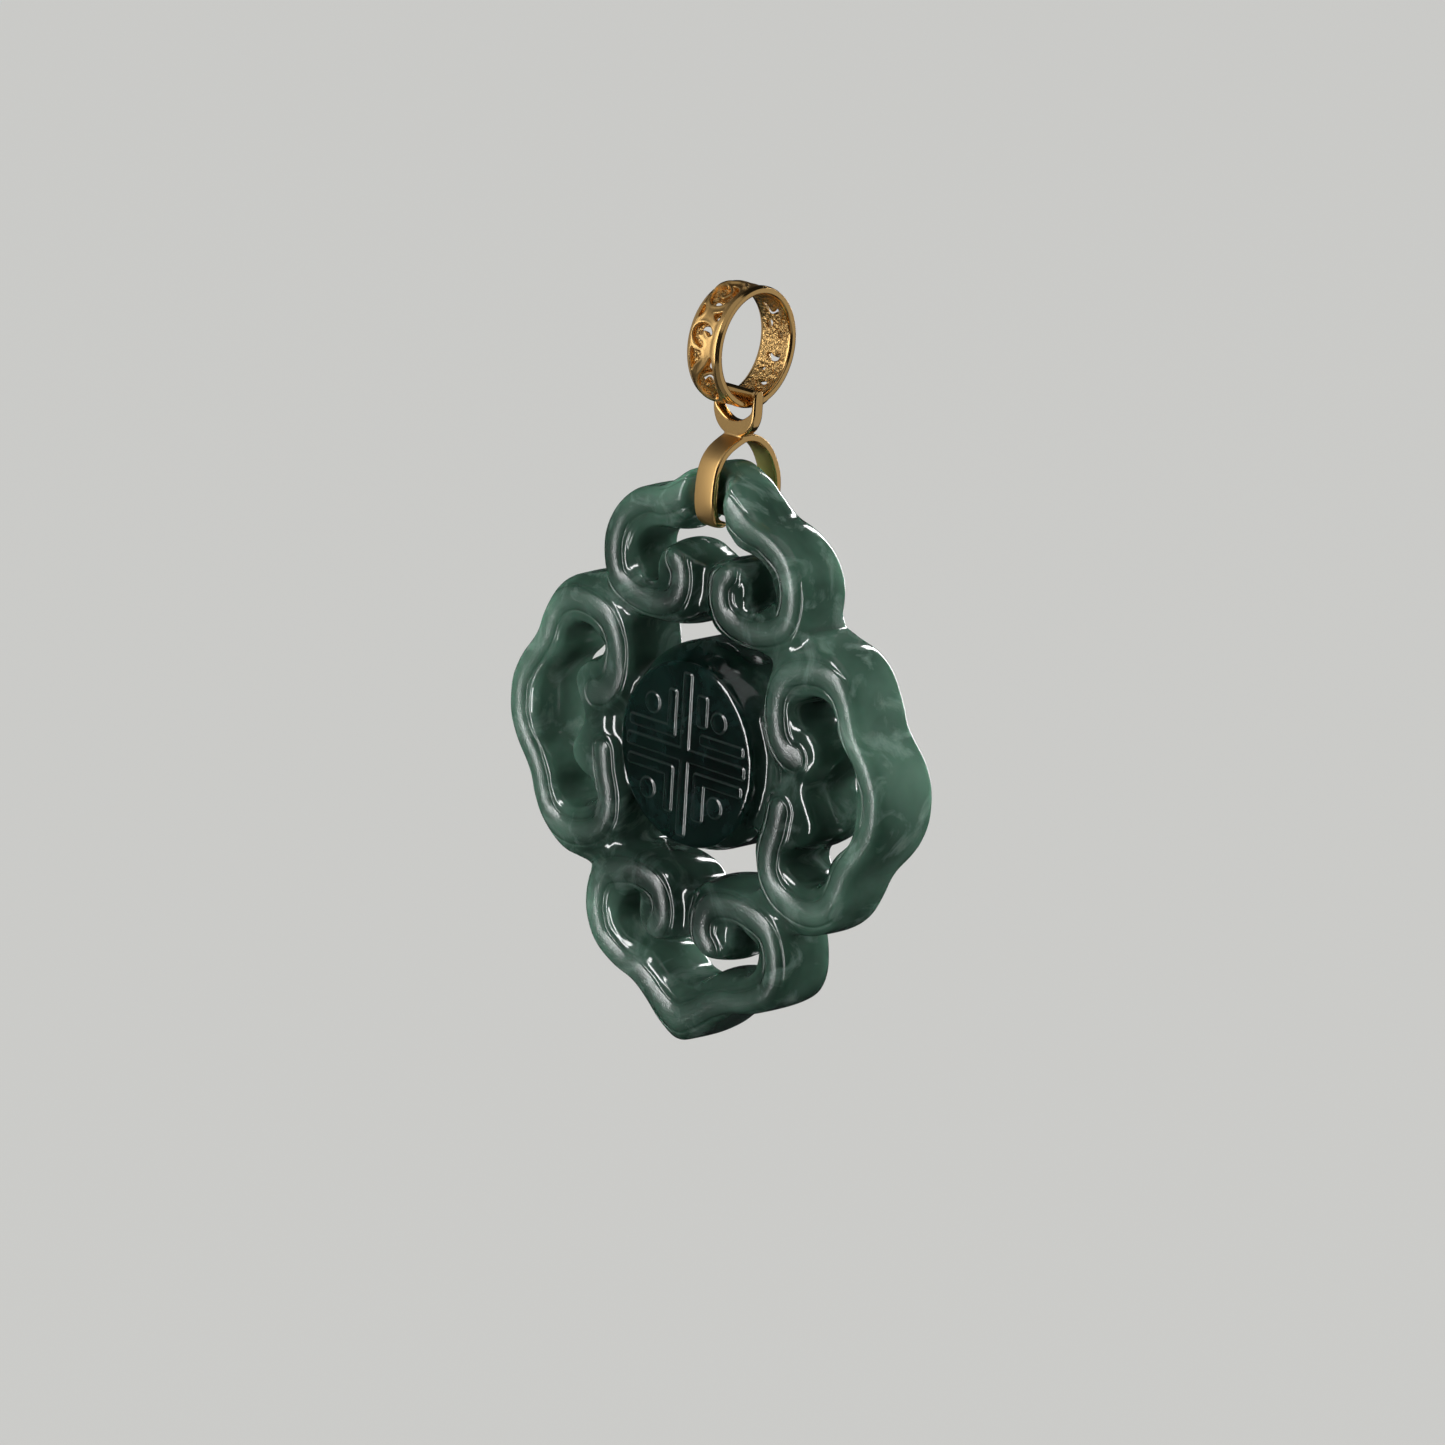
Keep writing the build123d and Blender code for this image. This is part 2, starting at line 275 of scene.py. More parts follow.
# The plan, in x and z from the middle of the disc.
cell = 0.225
grid_x = (np.arange(178) - 88.5) * cell
grid_z = (np.arange(194) - 96.5) * cell
plan_x, plan_z = np.meshgrid(grid_x, grid_z, indexing="ij")
side_edge = head_line(side_outline, (1, -1))
top_edge = head_line(top_outline[::-1], (-1, 1))[::-1]
outline = np.vstack([side_edge[:-1], top_edge[:-1],
                     (side_edge * (-1, 1))[::-1][:-1], (top_edge * (1, -1))[::-1][:-1]])
size = (plaque_half_width, plaque_half_height)
side_half = np.array(side_opening_outer + side_opening_inner[1:]) * size
side_hole = closed_line(np.vstack([side_half, side_half[-2:0:-1] * (1, -1)]))
top_half = np.array(top_opening_outer + top_opening_inner[1:]) * size
top_hole = closed_line(np.vstack([top_half, top_half[-2:0:-1] * (-1, 1)]))
gap_edge = smooth_line(np.array(disc_gap) * size)
gap_hole = np.vstack([gap_edge, (gap_edge[::-1] * (-1, 1))[1:], [(0.0, 0.0)]])
side_ridge = head_line(side_crest + upper_curl, (1, -1), side_crest + lower_curl)
top_ridge = head_line(top_crest, (-1, 1))
within_outline = -loop_distance(plan_x, plan_z, outline)
outside_holes = np.full(plan_x.shape, np.inf)
for hole, flip in ((side_hole, (-1, 1)), (top_hole, (1, -1)), (gap_hole, (1, -1))):
    for loop in (hole, hole * flip):
        outside_holes = np.minimum(outside_holes, loop_distance(plan_x, plan_z, loop))


def crest_distance(x, z):
    """Distance to the nearest of the four heads' crest lines."""
    lines = (side_ridge, side_ridge * (-1, 1), top_ridge, top_ridge * (1, -1))
    return np.min([line_distance(x, z, line) for line in lines], axis=0)


# The relief: a low web, a raised shoulder along each band, the cloud tongues in between,
# and on the shoulder a round bead between two fine grooves. The left head's upper curl is
# cut very flat. The back is plain, and thinner in the top head and the lower right one.
web_start, web_full = 1.20, 1.70
web_inset = 0.2
web_spread = 3
groove_at = 0.95
groove_half_width = 0.24
bead_blend = 0.16
tongue_height = 0.85
no_web = [
    # x, z, reach, share of the web left out, the same in all four quarters
    (4.2, 12.8, 1.5, 1.0),
]
flat_curls = [
    # x, z, reach, share of the bead and its grooves that is cut away
    (-9.2, 3.2, 2.2, 0.8), (-11.0, 1.7, 1.3, 0.9), (11.0, 1.7, 1.3, 0.9),
]
most_thinned = 0.85
upper_right_thinned = 0.35
from_crest = crest_distance(plan_x, plan_z)
out_x, out_z = abs(plan_x), abs(plan_z)
tongue = ease(8.3, 9.5, out_x) * ease(6.2, 4.8, out_z)
in_web = (within_outline > web_inset) & (outside_holes > web_inset)
between = ease(1.60, 1.95, np.where(in_web, from_crest, 0))
steps = range(-web_spread, web_spread + 1)
web = np.max([np.roll(between, (i, k), (0, 1)) for i in steps for k in steps
              if i * i + k * k <= web_spread * web_spread], axis=0)
for axis in (0, 1) * 3:
    web = 0.5 * web + 0.25 * (np.roll(web, 1, axis) + np.roll(web, -1, axis))
web *= 1 - hills(out_x, out_z, no_web)
shoulder = 1 - ease(web_start, web_full, from_crest) * web * (1 - tongue_height * tongue)
groove = groove_depth * np.exp(-((from_crest - groove_at) / groove_half_width) ** 2)
strength = np.ones_like(plan_x)
for centre_x, centre_z, reach, share in flat_curls:
    strength *= 1 - share * hill(plan_x, plan_z, centre_x, centre_z, reach)
bead = (shoulder_level + bead_rise * strength - bead_radius
        + np.sqrt(np.maximum(bead_radius ** 2 - from_crest ** 2, 0)))
relief = web_level + (shoulder_level - web_level) * shoulder - groove * strength
relief = -soft_least(-relief, -np.where(from_crest < bead_radius, bead, 0), bead_blend)
for axis in (0, 1):
    relief = 0.5 * relief + 0.25 * (np.roll(relief, 1, axis) + np.roll(relief, -1, axis))
thinner = (most_thinned * ease(10.5, 12.5, plan_z)
           + upper_right_thinned * ease(9.0, 12.0, plan_x) * ease(2.0, 6.0, plan_z)
           + most_thinned * ease(8.0, 11.0, plan_x) * ease(-4.0, -6.5, plan_z))
back_relief = shoulder_level - np.minimum(thinner, most_thinned)

# The clip's seat: the top bar is thinner there, round in section and clear of the strap.
seat_half, seat_level, seat_bottom, seat_middle = 1.5, 2.0, 17.49, 16.2
face_edge, hole_edge, seat_edge, tip_softer = 0.55, 0.40, 0.85, 0.45
at_seat = ease(2.3, 1.25, out_x) * ease(16.6, 17.2, plan_z)
relief = relief * (1 - at_seat) + seat_level * at_seat
back_relief = back_relief * (1 - at_seat) + seat_level * at_seat
under_seat = np.maximum(out_x - seat_half, abs(plan_z - seat_middle) - (seat_bottom - seat_middle))
outside_holes = np.minimum(outside_holes, under_seat)
soft_edge = ease(-14.6, -16.2, plan_z) * ease(7.0, 5.0, out_x) * ease(1.6, 0.8, outside_holes)
edge_round = face_edge - (face_edge - hole_edge) * ease(1.4, 0.8, outside_holes)
edge_round = edge_round * (1 - at_seat) + seat_edge * at_seat + tip_softer * soft_edge
bulge = wall_bulge * (1 - ease(3.4, 2.0, out_x) * ease(14.4, 15.8, plan_z))

# The solid: the plan given its thickness, with a pillow-shaped outer wall. The walls of
# the openings bulge, because they were cut from both faces. The disc is a little wider at
# its middle and most of all along its top.
front_step, middle_step, back_step = 0.15, 0.4, 0.24
wall_crown, back_lean = 0.10, 0.30
disc_edge, disc_blend = 0.22, 0.18
levels = np.concatenate([np.arange(-3.75, -2.0, front_step), np.arange(-2.0, 1.6, middle_step),
                         np.arange(1.6, 3.76, back_step)])
depth = levels[None, :, None]
thickness = np.where(depth < 0, relief[:, None, :], back_relief[:, None, :])
share = abs(depth) / thickness
outer_wall = (within_outline[:, None, :] + wall_crown * (1 - share ** 2)
              - np.where(depth < 0, 0.0, back_lean) * share ** 3)
inner_wall = (outside_holes + bulge)[:, None, :] - bulge[:, None, :] * share ** 2
body = rounded_slab(np.minimum(outer_wall, inner_wall), abs(depth) - thickness,
                    edge_round[:, None, :])
from_axis = np.hypot(plan_x, plan_z)
flare = disc_flare + disc_top_flare * ease(-0.1, 0.5, plan_z / from_axis)
disc_wall = (disc_radius + flare[:, None, :] * ease(-disc_level, -0.8, depth)
             - from_axis[:, None, :])
disc = rounded_slab(disc_wall, abs(depth) - disc_level, disc_edge)
solid = soft_least(body, disc, disc_blend)


def surface_net(field, xs, ys, zs):
    """The surface where a field is zero. Each grid cell that it crosses gets one point, the
    mean of its crossings of the cell's edges, and each crossed edge one four-sided face.
    The last sheet of samples makes none, so a field that ends as it began joins up."""
    inside = field < 0
    corner = [field[i:i + inside.shape[0] - 1, j:j + inside.shape[1] - 1, k:k + inside.shape[2] - 1]
              for i in (0, 1) for j in (0, 1) for k in (0, 1)]
    count = sum((c < 0).astype(np.int8) for c in corner)
    cells = np.argwhere((count > 0) & (count < 8))
    number = np.full(count.shape, -1)
    number[tuple(cells.T)] = np.arange(len(cells))
    axes = (xs, ys, zs)
    values = np.stack([c[tuple(cells.T)] for c in corner], 1)
    offsets = np.array([(i, j, k) for i in (0, 1) for j in (0, 1) for k in (0, 1)])
    total, found = np.zeros((len(cells), 3)), np.zeros(len(cells))
    for first in range(8):
        for second in range(first + 1, 8):
            if abs(offsets[first] - offsets[second]).sum() == 1:
                f, g = values[:, first], values[:, second]
                crossed = (f < 0) != (g < 0)
                t = np.where(crossed, f / np.where(crossed, f - g, 1), 0)[:, None]
                total += crossed[:, None] * (offsets[first] * (1 - t) + offsets[second] * t)
                found += crossed
    place = total / found[:, None]
    points = np.stack([axes[n][cells[:, n]] + place[:, n] * np.diff(axes[n])[cells[:, n]]
                       for n in range(3)], 1)
    faces = []
    for axis in range(3):
        low = [slice(0, -1), slice(None), slice(None)]
        high = [slice(0, -1), slice(None), slice(None)]
        low[axis], high[axis] = slice(0, -1), slice(1, None)
        change = inside[tuple(low)].astype(int) - inside[tuple(high)]
        for sign in (1, -1):
            at = np.argwhere(change == sign)
            u, v = np.eye(3, dtype=int)[(axis + 1) % 3], np.eye(3, dtype=int)[(axis + 2) % 3]
            ring = [number[tuple((at - s).T)] for s in (u + v, v, 0 * u, u)]
            faces.append(np.stack(ring[::sign], 1))
    return points, np.vstack(faces)


def even_out(points, faces, passes):
    """Each point moves half way to the mean of its neighbours, and then back by the mean of
    what they moved, which keeps the volume."""
    pairs = np.vstack([faces[:, [n, (n + 1) % 4]] for n in range(4)])
    weight = np.bincount(pairs[:, 0], minlength=len(points))[:, None]
    for _ in range(passes):
        for amount in (0.5, -0.52):
            total = np.stack([np.bincount(pairs[:, 0], points[pairs[:, 1], axis], len(points))
                              for axis in range(3)], 1)
            points = points + amount * (total / weight - points)
    return points


def add_piece(name, points, faces, body, node):
    """One piece from points in millimetres, in place of a solid, which it hides, and joined to its
    body.
    """
    mesh = bpy.data.meshes.new(name)
    mesh.from_pydata(points * mm, [], faces)
    mesh.shade_smooth()
    piece = bpy.data.objects.new(name, mesh)
    bpy.context.scene.collection.objects.link(piece)
    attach(piece, body)
    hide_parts(node)
    return mesh


def add_values(mesh, name, values):
    """One number for each point of a mesh, which its material reads by name."""
    mesh.attributes.new(name, "FLOAT", "POINT").data.foreach_set("value", values)


stone_points, stone_faces = surface_net(solid, grid_x, levels, grid_z)
stone_points = even_out(stone_points, stone_faces, 2)

# The emblem: bars, corner keys and dots, raised a little, with their middles ground hollow.
# The disc's front is divided three times finer to carry it.
emblem_rise = 0.08
emblem_slope = 0.11
emblem_hollow = 0.35
emblem_corner = 0.3
emblem_reach = 6.35
emblem_bars = [
    # from x, to x, from z, to z
    (-0.62, 0.36, -6.1, 6.1), (-6.1, 6.1, -0.52, 0.50),
    (-5.9, -1.10, 1.02, 1.88), (-2.02, -1.10, 1.02, 4.60),
    (1.35, 5.9, 1.05, 1.90), (0.92, 2.05, 2.35, 4.75),
    (-5.9, -1.10, -1.92, -1.05), (-2.02, -1.10, -4.60, -1.05),
    (0.90, 5.9, -1.92, -1.05), (0.90, 2.10, -4.65, -1.05),
]
emblem_dots = [(-3.6, 3.1), (3.2, 3.1), (-3.7, -3.3), (3.2, -3.2)]
dot_radius = 0.8


def emblem_height(x, z):
    """Height of the emblem, and how far it is frosted: each shape rises along an eased
    slope inside its edge, and that slope is left frosted."""
    inside = np.full(x.shape, -1.0)
    for x0, x1, z0, z1 in emblem_bars:
        to_side = abs(x - (x0 + x1) / 2) - (x1 - x0) / 2 + emblem_corner
        to_end = abs(z - (z0 + z1) / 2) - (z1 - z0) / 2 + emblem_corner
        outside = np.hypot(np.maximum(to_side, 0), np.maximum(to_end, 0))
        outside += np.minimum(np.maximum(to_side, to_end), 0) - emblem_corner
        inside = np.maximum(inside, -outside)
    for dot_x, dot_z in emblem_dots:
        inside = np.maximum(inside, dot_radius - np.hypot(x - dot_x, z - dot_z))
    height = ease(0, emblem_slope, inside) - emblem_hollow * ease(0.10, 0.42, inside)
    height *= emblem_rise
    frosted = ease(-0.05, 0.02, inside) * ease(0.15, 0.08, inside)
    return np.stack([height, frosted]) * ease(emblem_reach, emblem_reach - 0.25, np.hypot(x, z))


net = bmesh.new()
stone_draft = bpy.data.meshes.new("stone_draft")
stone_draft.from_pydata(stone_points, [], stone_faces.tolist())
net.from_mesh(stone_draft)
on_disc = {v for v in net.verts if v.co.y < -3.2 and math.hypot(v.co.x, v.co.z) < emblem_reach}
bmesh.ops.subdivide_edges(net, edges=[e for e in net.edges if set(e.verts) <= on_disc],
                          cuts=2, use_grid_fill=True)
net.verts.index_update()
stone_points = np.array([v.co for v in net.verts])
stone_faces = [[v.index for v in face.verts] for face in net.faces]
net.free()
bpy.data.meshes.remove(stone_draft)

# Where the stone's colour and finish change: painted shade darkens it towards the thick disc and in
# the bottom head, a painted glow makes three of the walls paler as if lit through the thin bands,
# it is stained low on the left head, and it is left ground in two places.
darker_patches = [
    # x, z, reach, share; the same columns below
    (3.5, -17.5, 5.5, 0.55),
]
# Painted glow: three walls made paler, as if lit by light shining through the thin bands.
glow_patches = [(-13.5, -0.5, 5.5, 1.0), (-6.5, 14.0, 3.0, 0.6), (18.5, -5.0, 5.0, 0.7)]
stain_patches = [(-13.5, -5.3, 1.3, 0.7)]
ground_patches = [(10.0, 11.1, 2.2, 1.0), (7.6, 1.5, 2.5, 1.0)]
# How much paler: the crests partly by their frosting and partly by a painted sheen, three walls by
# a painted glow, and the emblem's slopes by their frosting.
crest_frost_and_sheen, wall_glow, frost_pale = 0.04, 0.75, 0.05
disc_satin = 0.35

x, y, z = stone_points.T
to_crest = crest_distance(x, z)
facing_front = ease(-3.1, -3.25, y) * ease(emblem_reach + 0.3, emblem_reach, np.hypot(x, z))
from_middle = np.hypot(x, 0.9 * z)
# Painted shade: darker towards the middle and most of all in the thick disc, standing in for the
# light that thick stone lets through less, and darker in the bottom head.
painted_shade_share = 0.6 * ease(18.0, 9.0, from_middle) + 0.4 * ease(8.2, 6.4, from_middle)
painted_shade_share = np.minimum(painted_shade_share + hills(x, z, darker_patches), 1)
height, frosted = emblem_height(x, z) * facing_front
stone_points[:, 1] -= height

# The carver's hand: a few places are fuller or longer than their mirror images.
hand = [
    # x, z, reach, moved in x, moved in z
    (8.3, -15.0, 4.2, 0.60, 0.0), (0.0, -21.0, 2.6, 0.0, -0.42), (-6.8, 17.6, 2.6, 0.0, 0.45),
]
moved = np.zeros_like(stone_points)
for centre_x, centre_z, reach, move_x, move_z in hand:
    near = hill(x, z, centre_x, centre_z, reach)
    moved += near[:, None] * (move_x, 0, move_z)
stone_points += moved + (0, 0, plaque_middle_z)

stone_mesh = add_piece("jadeite_plaque", stone_points, stone_faces, "stone", "jade_plaque")
normals = np.empty(len(stone_points) * 3)
stone_mesh.vertex_normals.foreach_get("vector", normals)
on_face = ease(-0.45, -0.80, normals[1::3]) * ease(-1.9, -2.2, y)
on_face *= 1 - hill(x, z, 0.0, 19.3, 3.0)
on_tongue = ease(9.6, 10.4, abs(x)) * ease(4.6, 3.8, abs(z))
# The painted glow, on the walls only.
painted_wall_glow = hills(x, z, glow_patches) * ease(0.8, 0.4, abs(normals[1::3]))
crest_share = ease(1.05, 0.45, to_crest) * on_face
add_values(stone_mesh, "satin", np.maximum(crest_share, disc_satin * facing_front))
add_values(stone_mesh, "painted_shade", painted_shade_share)
# Paler: the frosted emblem slopes, the crests with their frosting and a painted sheen, and the
# painted wall glow.
frost_sheen_and_glow = [frost_pale * frosted, crest_frost_and_sheen * crest_share, wall_glow * painted_wall_glow]
add_values(stone_mesh, "frost_and_painted_light", np.max(frost_sheen_and_glow, 0))
add_values(stone_mesh, "to_crest", np.minimum(to_crest, 2.0) / 2.0)
add_values(stone_mesh, "on_face", on_face * ease(7.2, 7.6, np.hypot(x, z)) * (1 - on_tongue))
add_values(stone_mesh, "stain", hills(x, z, stain_patches) * ease(0.0, -2.0, y))
ground_share = np.minimum(hills(x, z, ground_patches), 1)
add_values(stone_mesh, "ground", ground_share * ease(2.4, 2.0, abs(y)))

# Polished jadeite: deep bluish green with paler clouds, thin white wisps and a brown stain low on
# the left head.
# Painted shade makes it darkest in the disc and darker in the bottom head, and it is painted paler
# on three walls, as a glow of light through the thin bands, and on the crests, partly their own
# frosting and partly a painted sheen.
# Light soaks in by 1.2 mm for red, 2.4 mm for green and 1.9 mm for blue. The crests are satin and
# finely pitted, and the notch walls keep marks of the grinding. The real pits and marks are finer
# than the render can show, and are drawn as coarse as they need.
cloud_size = 9.091 * mm
wisp_size = 3.0303 * mm
pit_size = 0.11111 * mm
pit_height = 0.030 * mm
hair_groove_depth = 0.20 * mm
stroke_pitch = 0.40277 * mm
stroke_depth = 0.03 * mm
soak_depth = 2.4 * mm
jade = bpy.data.materials.new("polished_jadeite")
jade.use_nodes = True
tree = jade.node_tree
shader = tree.nodes["Principled BSDF"]
place = add_node(tree, "ShaderNodeTexCoord").outputs["Object"]
cloud = add_node(tree, "ShaderNodeTexNoise", [("Vector", place)],
                 Scale=1 / cloud_size, Detail=4.0, Roughness=0.5, Distortion=0.3)
tint = add_node(tree, "ShaderNodeValToRGB", [("Fac", cloud.outputs["Fac"])])
tint.color_ramp.elements[0].position = 0.36
tint.color_ramp.elements[0].color = linear("#2b4237")
tint.color_ramp.elements[1].position = 0.68
tint.color_ramp.elements[1].color = linear("#638272")
wisp = add_node(tree, "ShaderNodeTexNoise", [("Vector", place)],
                Scale=1 / wisp_size, Detail=5.0, Roughness=0.6, Distortion=0.8)
wisp_share = add_node(tree, "ShaderNodeMapRange", [("Value", wisp.outputs["Fac"])],
                      From_Min=0.52, From_Max=0.80, To_Max=0.6)
clouded = add_node(tree, "ShaderNodeMix", [("Factor", wisp_share.outputs["Result"])],
                   data_type="RGBA")
tree.links.new(tint.outputs["Color"], clouded.inputs[6])
clouded.inputs[7].default_value = linear("#a9c0b5")
# Painted shade: the colour multiplied towards #3c5254 where the stone is thick.
painted_shade = add_node(tree, "ShaderNodeAttribute", attribute_name="painted_shade").outputs["Fac"]
darkened = add_node(tree, "ShaderNodeMix", [("Factor", painted_shade)], data_type="RGBA",
                    blend_type="MULTIPLY")
tree.links.new(clouded.outputs[2], darkened.inputs[6])
darkened.inputs[7].default_value = linear("#3c5254")
# Paler towards #a5b5ae by the frosting, the painted crest sheen and the painted wall glow.
frost_and_painted_light = add_node(tree, "ShaderNodeAttribute", attribute_name="frost_and_painted_light").outputs["Fac"]
paled = add_node(tree, "ShaderNodeMix", [("Factor", frost_and_painted_light)], data_type="RGBA")
tree.links.new(darkened.outputs[2], paled.inputs[6])
paled.inputs[7].default_value = linear("#a5b5ae")
stain = add_node(tree, "ShaderNodeAttribute", attribute_name="stain").outputs["Fac"]
stained = add_node(tree, "ShaderNodeMix", [("Factor", stain)], data_type="RGBA")
tree.links.new(paled.outputs[2], stained.inputs[6])
stained.inputs[7].default_value = linear("#4a4526")
tree.links.new(stained.outputs[2], shader.inputs["Base Color"])
satin = add_node(tree, "ShaderNodeAttribute", attribute_name="satin").outputs["Fac"]
finish = add_node(tree, "ShaderNodeMapRange", [("Value", satin)], To_Min=0.11, To_Max=0.24)
tree.links.new(finish.outputs["Result"], shader.inputs["Roughness"])
pits = add_node(tree, "ShaderNodeTexNoise", [("Vector", place)], Scale=1 / pit_size, Detail=2.0)
pitted = add_node(tree, "ShaderNodeBump", [("Height", pits.outputs["Fac"]), ("Strength", satin)],
                  Distance=pit_height)
to_crest_node = add_node(tree, "ShaderNodeAttribute", attribute_name="to_crest")
section = add_node(tree, "ShaderNodeFloatCurve", [("Value", to_crest_node.outputs["Fac"])])
for share, height in [(0.39, 0.50), (0.46, 0.08), (0.52, 0.50), (0.59, 0.74), (0.72, 0.50)]:
    section.mapping.curves[0].points.new(share, height)
section.mapping.curves[0].points[0].location = (0.0, 0.5)
section.mapping.curves[0].points[-1].location = (1.0, 0.5)
section.mapping.update()
on_face_node = add_node(tree, "ShaderNodeAttribute", attribute_name="on_face")
grooved = add_node(tree, "ShaderNodeBump",
                   [("Height", section.outputs["Value"]), ("Normal", pitted.outputs["Normal"]),
                    ("Strength", on_face_node.outputs["Fac"])], Distance=hair_groove_depth)
strokes = add_node(tree, "ShaderNodeTexWave", [("Vector", place)], bands_direction="Z",
                   Scale=math.tau / 20 / stroke_pitch, Distortion=1.5, Detail=1.0)
ground = add_node(tree, "ShaderNodeAttribute", attribute_name="ground").outputs["Fac"]
scored = add_node(tree, "ShaderNodeBump",
                  [("Height", strokes.outputs["Fac"]), ("Strength", ground),
                   ("Normal", grooved.outputs["Normal"])], Distance=stroke_depth)
tree.links.new(scored.outputs["Normal"], shader.inputs["Normal"])
shader.inputs["Subsurface Weight"].default_value = 1.0
shader.inputs["Subsurface Radius"].default_value = (0.5, 1.0, 0.8)
shader.inputs["Subsurface Scale"].default_value = soak_depth
shader.inputs["IOR"].default_value = 1.66
stone_mesh.materials.append(jade)


# The clip: a satin gold strap bent over the stone's top bar, front and back, with polished
# edges. A flat eye closed by a round bar, soldered across its top, hangs in the ring bail.
strap_half_width = 1.0
strap_half = 0.31
strap_edge = 0.17
strap_crown = 0.05
tip_round = 0.7
strap_bottom_z = -17.0
front_leg = [(0.0, -10.56), (-1.35, -11.17), (-2.10, -11.85), (-2.50, -12.71), (-2.69, -13.87),
             (-2.69, -15.10), (-2.46, -16.02), (-2.05, -16.50), (-1.55, -16.69)]
back_leg = [(0.79, -10.56), (1.65, -10.87), (2.41, -11.48), (3.05, -12.40), (3.52, -13.62),
            (3.59, -14.97), (3.27, -16.01), (2.73, -16.57), (2.08, -16.69)]
eye_axis_z = -7.2
eye_half_depth = 0.45
eye_edge = 0.20
eye_bar_radius = 0.35
eye_bar_half = 1.9
knuckle_radius = 0.43
knuckle_x = 1.93
knuckle_half_width = 0.21
solder_fillet = 0.16
knuckle_fillet = 0.05
gold_cell = 0.07
eye_outer = [(2.14, -7.2), (2.14, -8.1), (2.12, -8.70), (1.98, -9.25), (1.66, -9.80),
             (1.15, -10.22), (0.55, -10.42), (0.0, -10.45)]
eye_inner = [(1.72, -7.2), (1.72, -8.1), (1.62, -8.48), (1.28, -8.80), (0.85, -9.06),
             (0.42, -9.22), (0.0, -9.27)]

clip_x = np.arange(-2.31, 2.32, gold_cell)
clip_y = np.arange(-3.36, 4.25, gold_cell)
clip_z = np.arange(-17.22, -6.55, gold_cell)
clip_yy, clip_zz = np.meshgrid(clip_y, clip_z, indexing="ij")
clip_xx, clip_xz = np.meshgrid(clip_x, clip_z, indexing="ij")
x, y, z = clip_x[:, None, None], clip_y[None, :, None], clip_z[None, None, :]

to_tip = strap_bottom_z + tip_round - z
to_side = abs(x) - strap_half_width + tip_round
strap_outside = (np.hypot(np.maximum(to_tip, 0), np.maximum(to_side, 0))
                 + np.minimum(np.maximum(to_tip, to_side), 0) - tip_round)
from_strap = line_distance(clip_yy, clip_zz, smooth_line(front_leg[::-1] + back_leg))[None]
strap_cover = from_strap - strap_half + strap_crown * (x / strap_half_width) ** 2
strap = rounded_slab(-strap_outside, strap_cover, strap_edge)

eye_wall = np.full(clip_xx.shape, np.inf)
for line, sign in ((eye_outer, -1), (eye_inner, 1)):
    half_loop = smooth_line(line)
    loop = np.vstack([half_loop, half_loop[-2::-1] * (-1, 1)])
    eye_wall = np.minimum(eye_wall, sign * loop_distance(clip_xx, clip_xz, loop))
eye = rounded_slab(eye_wall[:, None, :], abs(y) - eye_half_depth, eye_edge)
from_bar = np.hypot(y, z - eye_axis_z)
bar = np.maximum(from_bar - eye_bar_radius, abs(x) - eye_bar_half)
knuckle = rounded_slab(knuckle_radius - from_bar, abs(abs(x) - knuckle_x) - knuckle_half_width,
                       eye_edge)
clip_field = soft_least(soft_least(strap, eye, solder_fillet),
                        soft_least(bar, knuckle, knuckle_fillet), knuckle_fillet)

clip_points, clip_faces = surface_net(clip_field, clip_x, clip_y, clip_z)
clip_points = even_out(clip_points, clip_faces, 3)
clip_mesh = add_piece("strap_clip", clip_points, clip_faces.tolist(), "hanger", "clip")
x, y, z = clip_points.T
strap_face = ease(0.93, 0.80, abs(x)) * ease(-10.0, -10.5, z)
eye_face = ease(0.42, 0.46, abs(y)) * ease(-10.3, -10.1, z)
add_values(clip_mesh, "satin", np.maximum(strap_face, 0.6 * eye_face))


# The ring bail: a gold band, pierced with curls and leaves between two smooth round rims.
# Its outside is satin, and the inside and the cut walls are left rough from the casting.
ring_radius = 4.4
ring_inner_radius = 3.8
ring_half_width = 1.5
ring_recess = 0.06
ring_turn = math.radians(6.0)
ring_middle_z = -3.8
lip_rise = 0.035
lip_at, lip_half_width = 0.12, 0.10
curl_rise, curl_half_width = 0.20, 0.20
line_depth, line_x, line_half_width = 0.07, 1.33, 0.07
middle_edge, rim_edge = 0.07, 0.26
ring_pits = [
    # x across the ring, degrees from the top towards the front
    [(-1.08, 22), (-1.10, 31), (-0.86, 39), (-0.42, 43), (0.12, 42.5), (0.52, 38), (0.72, 30),
     (0.66, 21), (0.36, 15), (-0.10, 12.5), (-0.62, 13.5), (-0.93, 17)],
    [(-1.08, 45), (-0.88, 47), (-0.80, 52), (-0.92, 56), (-1.08, 57)],
    [(0.15, 52.5), (0.45, 51), (0.78, 49), (0.76, 57), (0.5, 58)],
    [(-1.08, 88.5), (-0.72, 89.5), (-0.22, 90.5), (-0.27, 96), (-0.6, 101), (-0.88, 105),
     (-1.08, 108)],
    [(0.72, 94), (0.3, 102), (-0.2, 110), (-0.6, 116), (-0.92, 125), (-0.98, 135), (-0.85, 145),
     (-0.45, 152), (0.0, 148), (0.4, 140), (0.72, 128), (0.82, 115), (0.84, 103)],
    [(0.55, 150), (0.85, 142), (0.95, 150), (0.7, 160), (0.3, 166), (0.2, 160)],
]
